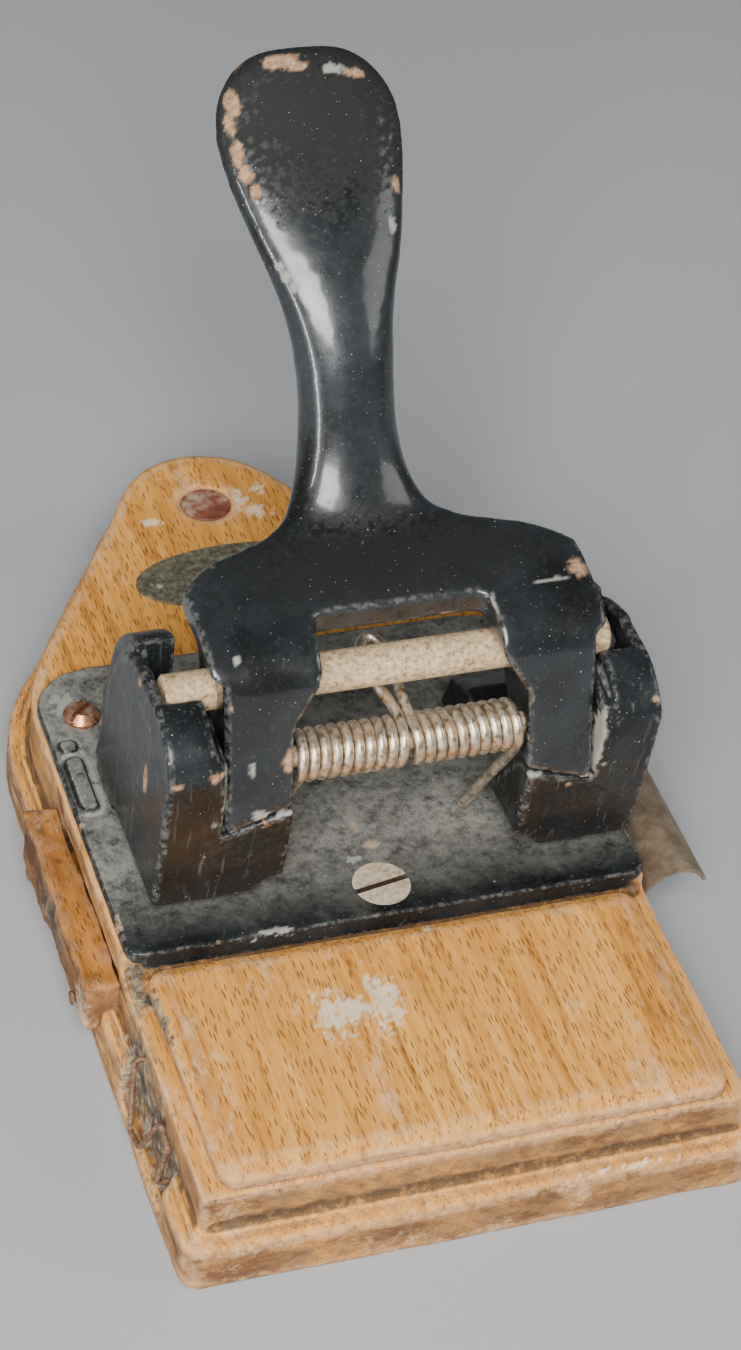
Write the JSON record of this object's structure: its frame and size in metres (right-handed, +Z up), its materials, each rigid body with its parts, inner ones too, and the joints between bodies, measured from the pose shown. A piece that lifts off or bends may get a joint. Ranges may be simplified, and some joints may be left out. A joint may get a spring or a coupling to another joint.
{
  "type": "hole punch",
  "caption": "Antique desk hole punch: black cast iron lever with a spoon handle, spring and twin punches on a moulded wooden base with a chip tray.",
  "frame": {"origin": "underside of the wooden base, below the front edge of the iron bed and midway between the two punches", "axes": "+X to the right seen from the paper side, +Y from the paper side to the rear tongue, +Z up out of the base"},
  "size_m": [0.1227, 0.1952, 0.1477],
  "materials": {
    "wood": "worn, matt",
    "wood_batten": "rough, dirty",
    "plug": "matt",
    "japan_black": "glossy, worn at the edges",
    "bed_black": "dusty, satin",
    "rod_steel": "tarnished, matt",
    "spring_steel": "worn bright with grime",
    "tool_steel": "ground",
    "screw_steel": "worn",
    "screw_copper": "tarnished, satin",
    "badge_brass": "tarnished",
    "tray_sheet": "worn brown lacquer",
    "wire": "rusty"
  },
  "bodies": {
    "frame": {"wood_base": "wood", "paper_rest": "wood", "tongue_plug": "plug", "tray_batten": "wood_batten", "batten_nails": "wire", "side_wire": "wire", "badge_plate": "badge_brass", "badge_nails": "badge_brass", "bed_plate": "bed_black", "bed_screw_front": "screw_steel", "bed_screws_rear": "screw_copper", "tower_bolts": "tool_steel", "tower_left": "japan_black", "tower_right": "japan_black", "die_left": "tool_steel", "die_right": "tool_steel", "pivot_axle": "rod_steel", "torsion_spring": "spring_steel", "lift_spring_left": "spring_steel", "lift_spring_right": "spring_steel"},
    "lever": {"lever": "japan_black", "drive_rod": "rod_steel"},
    "punch_left": {"punch_left": "tool_steel"},
    "punch_right": {"punch_right": "tool_steel"},
    "chip_tray": {"chip_tray": "tray_sheet"}
  },
  "joints": [
    {"name": "lever_pivot", "type": "hinge", "parent": "frame", "child": "lever", "pos_m": [0, 0.0135, 0.0577], "axis": [-1, 0, 0], "range_deg": [0, 35], "stiffness_Nm_per_rad": 0.6, "springref_deg": -34.38, "deforming": ["torsion_spring"]},
    {"name": "punch_left_slide", "type": "slide", "parent": "frame", "child": "punch_left", "axis": [0, 0, -1], "range_m": [0, 0.0069], "deforming": ["lift_spring_left"]},
    {"name": "punch_right_slide", "type": "slide", "parent": "frame", "child": "punch_right", "axis": [0, 0, -1], "range_m": [0, 0.0069], "deforming": ["lift_spring_right"]},
    {"name": "chip_tray_slide", "type": "slide", "parent": "frame", "child": "chip_tray", "axis": [1, 0, 0], "range_m": [0, 0.085]}
  ],
  "couplings": [
    {"joint": "punch_left_slide", "follows": "lever_pivot", "m_per_rad": 0.01125},
    {"joint": "punch_right_slide", "follows": "lever_pivot", "m_per_rad": 0.01125}
  ]
}
